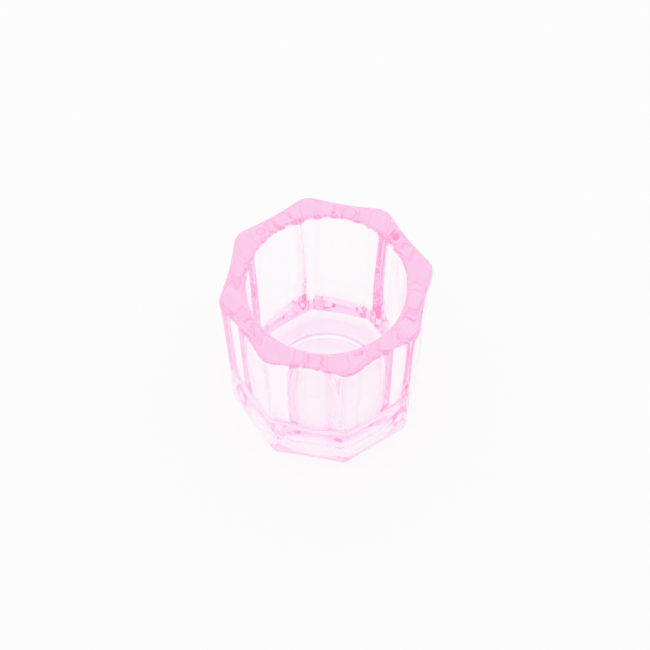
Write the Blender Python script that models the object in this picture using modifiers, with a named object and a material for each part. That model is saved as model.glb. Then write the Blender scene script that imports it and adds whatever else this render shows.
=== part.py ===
"""Octagonal glass dappen cup, modelled in metres with +Z up.

One solid piece of pressed glass. Eight slightly hollow panels flare from a shoulder up to a
fire-polished rim, a plain band runs from the shoulder down to the foot, the bowl is round
inside, and a shallow round hollow under the foot leaves a ring to stand on.

The origin is the middle of the resting plane, and one panel faces -Y.
"""

import math

import bmesh
import bpy

# Driving dimensions, in metres.
PANELS = 8
HEIGHT = 0.032
SHOULDER_HEIGHT = 0.0137  # top of the base band, where the panels start to flare
TAPER_HEIGHT = 0.0036  # below this the base band draws in towards the foot

RIM_CORNER = 0.01753  # from the axis to a corner of the outline, before the corner is rounded
SHOULDER_CORNER = 0.01621
TAPER_CORNER = 0.01585
FOOT_CORNER = 0.01529
RIM_CORNER_ROUND = 0.0032  # radius of the outline's rounded corners
SHOULDER_CORNER_ROUND = 0.0014
TAPER_CORNER_ROUND = 0.0023
FOOT_CORNER_ROUND = 0.0008
RIM_HOLLOW = 0.00056  # how far the middle of a panel sits inside a straight side
SHOULDER_HOLLOW = 0.00025
TAPER_HOLLOW = 0.00011
FOOT_HOLLOW = 0.00008

RIM_ROUND_WIDTH = 0.0007  # each side of the rim is a quarter ellipse, this wide
RIM_ROUND_HEIGHT = 0.0014  # and this tall
FOOT_ROUND = 0.0021

BOWL_MOUTH_RADIUS = 0.01258
BOWL_BASE_RADIUS = 0.01208  # wall radius where the fillet into the floor begins
BOWL_FLOOR_HEIGHT = 0.0069
BOWL_FILLET = 0.0045  # height of the rounding between the wall and the floor
BOWL_FILLET_WIDTH = 0.0034

PUNT_RADIUS = 0.0092  # the hollow under the foot
PUNT_DEPTH = 0.0021

GLASS_COLOUR = (1.0, 0.78, 0.89, 1.0)
GLASS_ROUGHNESS = 0.02
GLASS_IOR = 1.5

# Fineness of the facets.
SEGMENTS = 64  # around the axis, a multiple of PANELS * 2 so that corners fall on points
ROUND_STEPS = 4  # along each rounded edge
WALL_STEPS = 4  # from the shoulder to the rim
FILLET_STEPS = 6
PUNT_STEPS = 5
CUTTER_CLEARANCE = 0.002  # how far a cutter reaches past the face that it cuts through
MERGE_DISTANCE = 0.00001
SMOOTH_ANGLE = math.radians(30)

RIM_START = HEIGHT - RIM_ROUND_HEIGHT  # where the rim starts to round over
HALF_PANEL_ANGLE = math.pi / PANELS
FRONT_ANGLE = -math.pi / 2


def clear_scene():
    """Remove whatever the scene holds."""
    for scene_object in list(bpy.data.objects):
        bpy.data.objects.remove(scene_object)


def new_collection(name):
    """A collection linked into the scene."""
    collection = bpy.data.collections.new(name)
    bpy.context.scene.collection.children.link(collection)
    return collection


def blend(low, high, share):
    """The value a share of the way from low to high."""
    return low + (high - low) * share


def outline_radius(angle, corner, corner_round, hollow):
    """Distance from the axis to the octagonal outline, at an angle from the middle of a panel.

    Each side is an arc that bulges inwards by hollow, and each corner is an arc that touches
    the two sides beside it.
    """
    half_side = corner * math.sin(HALF_PANEL_ANGLE)
    side_distance = corner * math.cos(HALF_PANEL_ANGLE) - hollow
    side_radius = (half_side ** 2 + hollow ** 2) / (2 * hollow)
    side_centre = side_distance + side_radius

    along = side_centre * math.cos(HALF_PANEL_ANGLE)
    across = side_centre * math.sin(HALF_PANEL_ANGLE)
    corner_centre = along - math.sqrt((side_radius + corner_round) ** 2 - across ** 2)

    from_middle = abs((angle + HALF_PANEL_ANGLE) % (2 * HALF_PANEL_ANGLE) - HALF_PANEL_ANGLE)
    touch_angle = math.atan2(
        corner_centre * math.sin(HALF_PANEL_ANGLE) * side_radius,
        side_centre * corner_round + corner_centre * math.cos(HALF_PANEL_ANGLE) * side_radius,
    )
    if from_middle <= touch_angle:
        reach = side_radius ** 2 - (side_centre * math.sin(from_middle)) ** 2
        return side_centre * math.cos(from_middle) - math.sqrt(reach)
    from_corner = HALF_PANEL_ANGLE - from_middle
    reach = corner_round ** 2 - (corner_centre * math.sin(from_corner)) ** 2
    return corner_centre * math.cos(from_corner) + math.sqrt(max(reach, 0.0))


def section_at(height):
    """Corner radius, corner rounding and hollow of the outline at a height."""
    sections = (
        (0.0, FOOT_CORNER, FOOT_CORNER_ROUND, FOOT_HOLLOW),
        (TAPER_HEIGHT, TAPER_CORNER, TAPER_CORNER_ROUND, TAPER_HOLLOW),
        (SHOULDER_HEIGHT, SHOULDER_CORNER, SHOULDER_CORNER_ROUND, SHOULDER_HOLLOW),
        (RIM_START, RIM_CORNER, RIM_CORNER_ROUND, RIM_HOLLOW),
    )
    for lower, upper in zip(sections, sections[1:]):
        if height <= upper[0]:
            share = (height - lower[0]) / (upper[0] - lower[0])
            return [blend(low, high, share) for low, high in zip(lower[1:], upper[1:])]
    return sections[-1][1:]


def wall_levels():
    """Heights and insets of the outer wall's rings, from the resting plane to the rim's top."""
    levels = []
    for step in range(ROUND_STEPS + 1):
        turn = math.pi / 2 * step / ROUND_STEPS
        levels.append((FOOT_ROUND * (1 - math.cos(turn)), FOOT_ROUND * (1 - math.sin(turn))))
    levels.append((TAPER_HEIGHT, 0.0))
    for step in range(WALL_STEPS + 1):
        levels.append((blend(SHOULDER_HEIGHT, RIM_START, step / WALL_STEPS), 0.0))
    for step in range(1, ROUND_STEPS + 1):
        turn = math.pi / 2 * step / ROUND_STEPS
        height = RIM_START + RIM_ROUND_HEIGHT * math.sin(turn)
        levels.append((height, RIM_ROUND_WIDTH * (1 - math.cos(turn))))
    return levels


def octagonal_blank(name, collection):
    """The cup's outside as a solid, lofted through outlines whose shape changes with height."""
    mesh = bpy.data.meshes.new(name)
    shape = bmesh.new()
    rings = []
    for height, inset in wall_levels():
        section = section_at(height)
        ring = []
        for segment in range(SEGMENTS):
            angle = 2 * math.pi * segment / SEGMENTS
            radius = outline_radius(angle, *section) - inset
            turn = angle + FRONT_ANGLE
            ring.append(shape.verts.new((radius * math.cos(turn), radius * math.sin(turn), height)))
        rings.append(ring)
    for lower, upper in zip(rings, rings[1:]):
        for segment in range(SEGMENTS):
            following = (segment + 1) % SEGMENTS
            shape.faces.new((lower[segment], lower[following], upper[following], upper[segment]))
    shape.faces.new(rings[-1])
    shape.faces.new(reversed(rings[0]))
    shape.to_mesh(mesh)
    shape.free()
    blank = bpy.data.objects.new(name, mesh)
    collection.objects.link(blank)
    return blank


def turned_cutter(name, profile, collection):
    """A solid of revolution from (radius, height) points that run from top to bottom."""
    mesh = bpy.data.meshes.new(name)
    points = [(radius, 0.0, height) for radius, height in profile]
    edges = [(index, index + 1) for index in range(len(points) - 1)]
    mesh.from_pydata(points, edges, [])
    cutter = bpy.data.objects.new(name, mesh)
    collection.objects.link(cutter)
    screw = cutter.modifiers.new("turn", "SCREW")
    screw.steps = SEGMENTS
    screw.render_steps = SEGMENTS
    screw.use_merge_vertices = True
    screw.merge_threshold = MERGE_DISTANCE
    cutter.display_type = "WIRE"
    cutter.hide_render = True
    return cutter


def bowl_cutter(collection):
    """The round bowl, with a mouth that widens over the rim and a fillet round its floor."""
    fillet_top = BOWL_FLOOR_HEIGHT + BOWL_FILLET
    mouth_edge = BOWL_MOUTH_RADIUS + RIM_ROUND_WIDTH
    profile = [(0.0, HEIGHT + CUTTER_CLEARANCE), (mouth_edge, HEIGHT + CUTTER_CLEARANCE)]
    for step in range(ROUND_STEPS + 1):
        turn = math.pi / 2 * (1 - step / ROUND_STEPS)
        radius = BOWL_MOUTH_RADIUS + RIM_ROUND_WIDTH * (1 - math.cos(turn))
        profile.append((radius, RIM_START + RIM_ROUND_HEIGHT * math.sin(turn)))
    for step in range(FILLET_STEPS + 1):
        turn = math.pi / 2 * step / FILLET_STEPS
        radius = BOWL_BASE_RADIUS - BOWL_FILLET_WIDTH * (1 - math.cos(turn))
        profile.append((radius, fillet_top - BOWL_FILLET * math.sin(turn)))
    profile.append((0.0, BOWL_FLOOR_HEIGHT))
    return turned_cutter("bowl_cutter", profile, collection)


def punt_cutter(collection):
    """The shallow hollow under the foot, part of a sphere."""
    sphere_radius = (PUNT_RADIUS ** 2 + PUNT_DEPTH ** 2) / (2 * PUNT_DEPTH)
    half_angle = math.asin(PUNT_RADIUS / sphere_radius)
    profile = []
    for step in range(PUNT_STEPS + 1):
        turn = half_angle * step / PUNT_STEPS
        height = PUNT_DEPTH - sphere_radius * (1 - math.cos(turn))
        profile.append((sphere_radius * math.sin(turn), height))
    profile.append((PUNT_RADIUS, -CUTTER_CLEARANCE))
    profile.append((0.0, -CUTTER_CLEARANCE))
    return turned_cutter("punt_cutter", profile, collection)


def cut(part, cutter):
    """Take a cutter's shape away from a part."""
    boolean = part.modifiers.new(cutter.name, "BOOLEAN")
    boolean.operation = "DIFFERENCE"
    boolean.solver = "EXACT"
    boolean.object = cutter


def pink_glass():
    """Clear glass, tinted pink."""
    material = bpy.data.materials.new("pink_glass")
    material.use_nodes = True
    shader = material.node_tree.nodes["Principled BSDF"]
    shader.inputs["Base Color"].default_value = GLASS_COLOUR
    shader.inputs["Roughness"].default_value = GLASS_ROUGHNESS
    shader.inputs["Metallic"].default_value = 0.0
    shader.inputs["IOR"].default_value = GLASS_IOR
    shader.inputs["Transmission Weight"].default_value = 1.0
    material.diffuse_color = GLASS_COLOUR
    return material


def build_cup():
    """Model the cup as one named object in its own collection."""
    parts = new_collection("dappen_cup")
    cutters = new_collection("cutters")
    cup = octagonal_blank("glass_cup", parts)
    cup.data.materials.append(pink_glass())
    cup.data.shade_smooth()
    cup.data.set_sharp_from_angle(angle=SMOOTH_ANGLE)
    cut(cup, bowl_cutter(cutters))
    cut(cup, punt_cutter(cutters))


clear_scene()
build_cup()
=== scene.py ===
"""Studio picture of the glass dappen cup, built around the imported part.

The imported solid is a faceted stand-in, so this script replaces it with a fine mesh of the same
cup: eight hollow panels with rounded corners, a fire-polished rim, a round bowl, a base band
that draws in at the foot, and a hollow under the foot. The glass is clear with a pink tint that
deepens with the thickness of glass that light crosses.

Lengths are shares of the cup's half width over the rim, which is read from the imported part.
"""

import math

import bmesh
import bpy
import numpy as np
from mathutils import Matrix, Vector


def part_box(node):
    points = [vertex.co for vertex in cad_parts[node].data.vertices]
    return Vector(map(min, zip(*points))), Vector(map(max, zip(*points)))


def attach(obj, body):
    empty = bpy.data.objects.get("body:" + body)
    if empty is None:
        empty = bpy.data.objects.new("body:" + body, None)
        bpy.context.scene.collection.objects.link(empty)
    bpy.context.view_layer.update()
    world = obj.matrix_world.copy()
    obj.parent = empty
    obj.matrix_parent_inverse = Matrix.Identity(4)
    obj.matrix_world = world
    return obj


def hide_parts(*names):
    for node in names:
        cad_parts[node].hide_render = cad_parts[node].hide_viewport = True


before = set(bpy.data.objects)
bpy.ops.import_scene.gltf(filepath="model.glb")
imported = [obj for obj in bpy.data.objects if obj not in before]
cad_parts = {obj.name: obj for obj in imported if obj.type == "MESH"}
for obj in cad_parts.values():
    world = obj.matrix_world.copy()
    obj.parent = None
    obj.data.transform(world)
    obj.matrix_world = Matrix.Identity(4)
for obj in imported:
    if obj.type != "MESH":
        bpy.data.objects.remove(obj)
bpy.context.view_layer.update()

CUP_LOW, CUP_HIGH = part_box("glass_cup")
HALF_WIDTH = (CUP_HIGH.x - CUP_LOW.x) / 2
HEIGHT = (CUP_HIGH.z - CUP_LOW.z) / HALF_WIDTH

# The outline of the outer wall, as shares of the half width.
PANELS = 8
RIM_CORNER = 1.101  # from the axis to a corner, before the corner is rounded
SHOULDER_CORNER = 1.018
TAPER_CORNER = 0.995
FOOT_CORNER = 0.960
RIM_CORNER_ROUND = 0.201
SHOULDER_CORNER_ROUND = 0.090
TAPER_CORNER_ROUND = 0.147
FOOT_CORNER_ROUND = 0.053
RIM_HOLLOW = 0.0351  # how far the middle of a panel sits inside a straight side
SHOULDER_HOLLOW = 0.0159
TAPER_HOLLOW = 0.0067
FOOT_HOLLOW = 0.0047
WALL_BOW = 0.0022  # how far the wall bows inwards, halfway from the shoulder to the rim

# Heights.
TAPER_HEIGHT = 0.228
SHOULDER_HEIGHT = 0.861
RIM_ROUND = 0.091  # height of the rounded part of the rim, on its outer side
RIM_INNER_ROUND = 0.117
FOOT_ROUND = 0.131
RIM_POWER = 4.2  # 2 is an ellipse, and higher is squarer

# The bowl, round about the axis.
MOUTH_RADIUS = 0.790
BOWL_BASE_RADIUS = 0.759
FLOOR_HEIGHT = 0.430
BOWL_FILLET = 0.283
BOWL_FILLET_WIDTH = 0.212

# The hollow under the foot.
PUNT_RADIUS = 0.579
PUNT_DEPTH = 0.133

# Fineness of the mesh.
SEGMENTS = 384
FOOT_STEPS = 8
TAPER_STEPS = 6
BAND_STEPS = 6
WALL_STEPS = 6
RIM_STEPS = 24
BOWL_STEPS = 6
FILLET_STEPS = 14
FLOOR_STEPS = 8
PUNT_STEPS = 12
FOOT_RING_STEPS = 6
POLE_SHARE = 0.002  # the smallest ring at the axis

HALF_PANEL_ANGLE = math.pi / PANELS
FRONT_ANGLE = -math.pi / 2

# Glass. The surface's patterns are noise, with scales in cycles per metre.
GLASS_IOR = 1.50
ABSORPTION_COLOUR = (0.975, 0.0, 0.57, 1.0)
ABSORPTION_DENSITY = 11.7  # per metre
CORD_COLOURS = ((1.0, 1.0, 1.0, 1.0), (1.0, 0.988, 0.995, 1.0))  # faint streaks in the tint
CORD_SCALE = 260.0
CORD_STRETCH = 0.35  # how the streaks are drawn out along the height
POLISH_SCALE = 420.0
POLISH_DETAIL = 4.0
POLISH_ROUGHNESS = (0.0, 0.05)
RIPPLE_SCALE = 330.0
RIPPLE_DETAIL = 1.0
RIPPLE_DEPTH = 0.000006  # metres

# Camera, from the middle of the cup.
CAMERA_AZIMUTH = math.radians(11.11)  # from -Y towards +X
CAMERA_ELEVATION = math.radians(57.57)
CAMERA_DISTANCE = 25.37
CAMERA_ACROSS = -0.0141  # where the middle of the picture lies from the middle of the cup
CAMERA_UP = 0.1272
CAMERA_LENS = 138.5  # millimetres, on a 36 mm sensor
SENSOR_WIDTH = 36.0

# Studio.
FLOOR_HALF_SIDE = 100.0
FLOOR_DROP = 0.0002  # metres below the foot
FLOOR_GREY = 0.61  # the share of light that the floor scatters back
FLOOR_GLOW = 0.36
WORLD_STRENGTH = 1.0
GLASS_BOUNCES = 64
DIFFUSE_BOUNCES = 32

# The camera's response: brightness is raised, and eases off towards white above the knee.
RESPONSE_GAIN = 1.10
RESPONSE_KNEE = 0.82
RESPONSE_WHITE = 0.974  # this brightness stays as it is
RESPONSE_STEPS = 16
COMBINED_CURVE = 3  # after the curves for red, green and blue


def outline(corner, corner_round, hollow):
    """Radii of the octagonal outline, counted from the middle of the front panel.

    Each side is an arc that bulges inwards by hollow, and each corner is an arc that touches
    the two sides beside it.
    """
    half_side = corner * math.sin(HALF_PANEL_ANGLE)
    side_radius = (half_side ** 2 + hollow ** 2) / (2 * hollow)
    side_centre = corner * math.cos(HALF_PANEL_ANGLE) - hollow + side_radius

    along = side_centre * math.cos(HALF_PANEL_ANGLE)
    across = side_centre * math.sin(HALF_PANEL_ANGLE)
    corner_centre = along - math.sqrt((side_radius + corner_round) ** 2 - across ** 2)
    touch_angle = math.atan2(
        corner_centre * math.sin(HALF_PANEL_ANGLE) * side_radius,
        side_centre * corner_round + corner_centre * math.cos(HALF_PANEL_ANGLE) * side_radius,
    )

    turn = 2 * math.pi * np.arange(SEGMENTS) / SEGMENTS
    from_middle = np.abs((turn + HALF_PANEL_ANGLE) % (2 * HALF_PANEL_ANGLE) - HALF_PANEL_ANGLE)
    from_corner = HALF_PANEL_ANGLE - from_middle
    side_reach = np.maximum(side_radius ** 2 - (side_centre * np.sin(from_middle)) ** 2, 0)
    corner_reach = np.maximum(corner_round ** 2 - (corner_centre * np.sin(from_corner)) ** 2, 0)
    side = side_centre * np.cos(from_middle) - np.sqrt(side_reach)
    rounded = corner_centre * np.cos(from_corner) + np.sqrt(corner_reach)
    return np.where(from_middle <= touch_angle, side, rounded)


def section_at(height):
    """Corner radius, corner rounding and hollow of the outline at a height."""
    levels = (0.0, TAPER_HEIGHT, SHOULDER_HEIGHT, HEIGHT - RIM_ROUND)
    corners = (FOOT_CORNER, TAPER_CORNER, SHOULDER_CORNER, RIM_CORNER)
    rounds = (FOOT_CORNER_ROUND, TAPER_CORNER_ROUND, SHOULDER_CORNER_ROUND, RIM_CORNER_ROUND)
    hollows = (FOOT_HOLLOW, TAPER_HOLLOW, SHOULDER_HOLLOW, RIM_HOLLOW)
    section = [np.interp(height, levels, values) for values in (corners, rounds, hollows)]
    share = np.interp(height, levels[2:], (0.0, 1.0))
    section[0] -= 4 * WALL_BOW * share * (1 - share)
    return section


def circle(radius):
    """Radii of a round ring."""
    return np.full(SEGMENTS, radius)


def between(low, high, steps):
    """Values from low to high, without the first."""
    return [low + (high - low) * step / steps for step in range(1, steps + 1)]


def foot_rings():
    """From the middle of the hollow under the foot out to the start of the wall."""
    rings = [(circle(POLE_SHARE), PUNT_DEPTH)]
    for turn in between(0, math.pi / 2, PUNT_STEPS):
        rings.append((circle(PUNT_RADIUS * math.sin(turn)), PUNT_DEPTH * math.cos(turn)))
    ring_edge = outline(*section_at(0.0)) - FOOT_ROUND
    for share in between(0, 1, FOOT_RING_STEPS):
        rings.append(((1 - share) * PUNT_RADIUS + share * ring_edge, 0.0))
    for turn in between(0, math.pi / 2, FOOT_STEPS):
        height = FOOT_ROUND * (1 - math.cos(turn))
        rings.append((outline(*section_at(height)) - FOOT_ROUND * (1 - math.sin(turn)), height))
    return rings


def wall_rings():
    """Up the outer wall to where the rim starts to round over."""
    heights = between(FOOT_ROUND, TAPER_HEIGHT, TAPER_STEPS)
    heights += between(TAPER_HEIGHT, SHOULDER_HEIGHT, BAND_STEPS)
    heights += between(SHOULDER_HEIGHT, HEIGHT - RIM_ROUND, WALL_STEPS)
    return [(outline(*section_at(height)), height) for height in heights]


def rim_rings():
    """Over the rim, from the outer wall to the inner one."""
    outer = outline(*section_at(HEIGHT))
    middle = (outer + MOUTH_RADIUS) / 2
    half_thickness = (outer - MOUTH_RADIUS) / 2
    rings = []
    for turn in between(0, math.pi, RIM_STEPS):
        across = math.copysign(abs(math.cos(turn)) ** (2 / RIM_POWER), math.cos(turn))
        drop = 1 - abs(math.sin(turn)) ** (2 / RIM_POWER)
        depth = RIM_ROUND if across > 0 else RIM_INNER_ROUND
        rings.append((middle + half_thickness * across, HEIGHT - depth * drop))
    return rings


def bowl_rings():
    """Down the inside of the bowl to the middle of its floor."""
    rings = []
    fillet_top = FLOOR_HEIGHT + BOWL_FILLET
    for share in between(0, 1, BOWL_STEPS):
        radius = MOUTH_RADIUS + (BOWL_BASE_RADIUS - MOUTH_RADIUS) * share
        height = HEIGHT - RIM_INNER_ROUND + (fillet_top - HEIGHT + RIM_INNER_ROUND) * share
        rings.append((circle(radius), height))
    for turn in between(0, math.pi / 2, FILLET_STEPS):
        radius = BOWL_BASE_RADIUS - BOWL_FILLET_WIDTH * (1 - math.cos(turn))
        rings.append((circle(radius), fillet_top - BOWL_FILLET * math.sin(turn)))
    for share in between(0, 1, FLOOR_STEPS):
        radius = (BOWL_BASE_RADIUS - BOWL_FILLET_WIDTH) * (1 - share) + POLE_SHARE * share
        rings.append((circle(radius), FLOOR_HEIGHT))
    return rings


def cup_mesh(rings):
    """A closed mesh through the rings, capped by a small polygon at each end."""
    turn = 2 * math.pi * np.arange(SEGMENTS) / SEGMENTS + FRONT_ANGLE
    points = []
    for radii, height in rings:
        heights = np.full(SEGMENTS, height)
        ring = np.stack((radii * np.cos(turn), radii * np.sin(turn), heights), axis=1)
        points.append(ring * HALF_WIDTH)
    faces = []
    for lower in range(0, (len(rings) - 1) * SEGMENTS, SEGMENTS):
        for segment in range(SEGMENTS):
            following = (segment + 1) % SEGMENTS
            faces.append((
                lower + segment,
                lower + following,
                lower + SEGMENTS + following,
                lower + SEGMENTS + segment,
            ))
    last = (len(rings) - 1) * SEGMENTS
    faces.append(tuple(reversed(range(SEGMENTS))))
    faces.append(tuple(range(last, last + SEGMENTS)))
    mesh = bpy.data.meshes.new("pressed_glass_cup")
    mesh.from_pydata(np.concatenate(points).tolist(), [], faces)
    mesh.shade_smooth()
    return mesh


def noise(tree, place, scale, detail):
    """Smooth noise from 0 to 1, with its scale in cycles per unit of the place."""
    pattern = tree.nodes.new("ShaderNodeTexNoise")
    pattern.inputs["Scale"].default_value = scale
    pattern.inputs["Detail"].default_value = detail
    tree.links.new(place, pattern.inputs["Vector"])
    return pattern.outputs["Fac"]


def cord_colour(tree, place):
    """Faint streaks, drawn out along the height, as in glass that isn't quite evenly mixed."""
    stretch = tree.nodes.new("ShaderNodeVectorMath")
    stretch.operation = "MULTIPLY"
    stretch.inputs[1].default_value = (1.0, 1.0, CORD_STRETCH)
    tree.links.new(place, stretch.inputs[0])
    ramp = tree.nodes.new("ShaderNodeValToRGB")
    for stop, colour in zip(ramp.color_ramp.elements, CORD_COLOURS):
        stop.color = colour
    tree.links.new(noise(tree, stretch.outputs["Vector"], CORD_SCALE, 0.0), ramp.inputs["Fac"])
    return ramp.outputs["Color"]


def polish_roughness(tree, place):
    """Clean polish with slightly duller patches."""
    spread = tree.nodes.new("ShaderNodeMapRange")
    spread.inputs["To Min"].default_value, spread.inputs["To Max"].default_value = POLISH_ROUGHNESS
    tree.links.new(noise(tree, place, POLISH_SCALE, POLISH_DETAIL), spread.inputs["Value"])
    return spread.outputs["Result"]


def ripple_normal(tree, place):
    """The faint ripple that pressing and fire-polishing leave."""
    bump = tree.nodes.new("ShaderNodeBump")
    bump.inputs["Distance"].default_value = RIPPLE_DEPTH
    tree.links.new(noise(tree, place, RIPPLE_SCALE, RIPPLE_DETAIL), bump.inputs["Height"])
    return bump.outputs["Normal"]


def pink_glass():
    """Clear glass whose tint comes from the thickness of glass that light crosses."""
    material = bpy.data.materials.new("pink_glass")
    material.use_nodes = True
    tree = material.node_tree
    place = tree.nodes.new("ShaderNodeTexCoord").outputs["Object"]
    shader = tree.nodes["Principled BSDF"]
    shader.inputs["IOR"].default_value = GLASS_IOR
    shader.inputs["Transmission Weight"].default_value = 1.0
    tree.links.new(cord_colour(tree, place), shader.inputs["Base Color"])
    tree.links.new(polish_roughness(tree, place), shader.inputs["Roughness"])
    tree.links.new(ripple_normal(tree, place), shader.inputs["Normal"])
    tint = tree.nodes.new("ShaderNodeVolumeAbsorption")
    tint.inputs["Color"].default_value = ABSORPTION_COLOUR
    tint.inputs["Density"].default_value = ABSORPTION_DENSITY
    tree.links.new(tint.outputs["Volume"], tree.nodes["Material Output"].inputs["Volume"])
    return material


def add_cup():
    """The visible cup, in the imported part's place."""
    mesh = cup_mesh(foot_rings() + wall_rings() + rim_rings() + bowl_rings())
    mesh.materials.append(pink_glass())
    cup = bpy.data.objects.new("pressed_glass_cup", mesh)
    bpy.context.scene.collection.objects.link(cup)
    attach(cup, "root")
    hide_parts("glass_cup")


def floor_material():
    """Pale table that glows a little, so that no hard shadow falls on it."""
    material = bpy.data.materials.new("pale_floor")
    material.use_nodes = True
    shader = material.node_tree.nodes["Principled BSDF"]
    shader.inputs["Base Color"].default_value = (FLOOR_GREY, FLOOR_GREY, FLOOR_GREY, 1.0)
    shader.inputs["Roughness"].default_value = 1.0
    shader.inputs["Specular IOR Level"].default_value = 0.0
    shader.inputs["Emission Color"].default_value = (1.0, 1.0, 1.0, 1.0)
    shader.inputs["Emission Strength"].default_value = FLOOR_GLOW
    return material


def add_floor():
    """A wide pale floor just under the foot."""
    mesh = bpy.data.meshes.new("studio_floor")
    shape = bmesh.new()
    bmesh.ops.create_grid(shape, x_segments=1, y_segments=1, size=FLOOR_HALF_SIDE * HALF_WIDTH)
    shape.to_mesh(mesh)
    shape.free()
    mesh.materials.append(floor_material())
    floor = bpy.data.objects.new("studio_floor", mesh)
    floor.location.z = CUP_LOW.z - FLOOR_DROP
    bpy.context.scene.collection.objects.link(floor)


def add_world():
    """Even, soft light from all round."""
    world = bpy.data.worlds.new("studio")
    world.use_nodes = True
    background = world.node_tree.nodes["Background"]
    background.inputs["Color"].default_value = (1.0, 1.0, 1.0, 1.0)
    background.inputs["Strength"].default_value = WORLD_STRENGTH
    bpy.context.scene.world = world


def add_camera():
    """A long lens, looking down at the cup."""
    towards_camera = Vector((
        math.sin(CAMERA_AZIMUTH) * math.cos(CAMERA_ELEVATION),
        -math.cos(CAMERA_AZIMUTH) * math.cos(CAMERA_ELEVATION),
        math.sin(CAMERA_ELEVATION),
    ))
    right = Vector((math.cos(CAMERA_AZIMUTH), math.sin(CAMERA_AZIMUTH), 0.0))
    up = towards_camera.cross(right)
    middle = Vector((0.0, 0.0, HEIGHT / 2))
    place = middle + towards_camera * CAMERA_DISTANCE + right * CAMERA_ACROSS + up * CAMERA_UP
    data = bpy.data.cameras.new("camera")
    data.sensor_width = SENSOR_WIDTH
    data.lens = CAMERA_LENS
    data.clip_start = HALF_WIDTH
    camera = bpy.data.objects.new("camera", data)
    camera.location = place * HALF_WIDTH
    camera.rotation_euler = (-towards_camera).to_track_quat("-Z", "Y").to_euler()
    bpy.context.scene.collection.objects.link(camera)
    bpy.context.scene.camera = camera


def set_light_paths():
    """Let light bounce inside the glass until little of it is left."""
    cycles = bpy.context.scene.cycles
    cycles.max_bounces = GLASS_BOUNCES
    cycles.transmission_bounces = GLASS_BOUNCES
    cycles.glossy_bounces = GLASS_BOUNCES
    cycles.diffuse_bounces = DIFFUSE_BOUNCES
    cycles.blur_glossy = 0.0


def response(light):
    """Picture brightness for a brightness in the scene."""
    raised = RESPONSE_GAIN * light
    if raised <= RESPONSE_KNEE:
        return raised
    room = RESPONSE_WHITE - RESPONSE_KNEE
    eased = 1 - math.exp((RESPONSE_KNEE - raised) / room)
    eased_white = 1 - math.exp((RESPONSE_KNEE - RESPONSE_GAIN * RESPONSE_WHITE) / room)
    return RESPONSE_KNEE + room * eased / eased_white


def set_response():
    """Give the picture the camera's response, as a curve over the view."""
    view = bpy.context.scene.view_settings
    view.view_transform = "Standard"
    view.use_curve_mapping = True
    curve = view.curve_mapping.curves[COMBINED_CURVE]
    for step in range(1, RESPONSE_STEPS):
        light = step / RESPONSE_STEPS
        curve.points.new(light, response(light))
    curve.points[-1].location.y = response(1.0)
    view.curve_mapping.update()


add_cup()
add_floor()
add_world()
add_camera()
set_light_paths()
set_response()
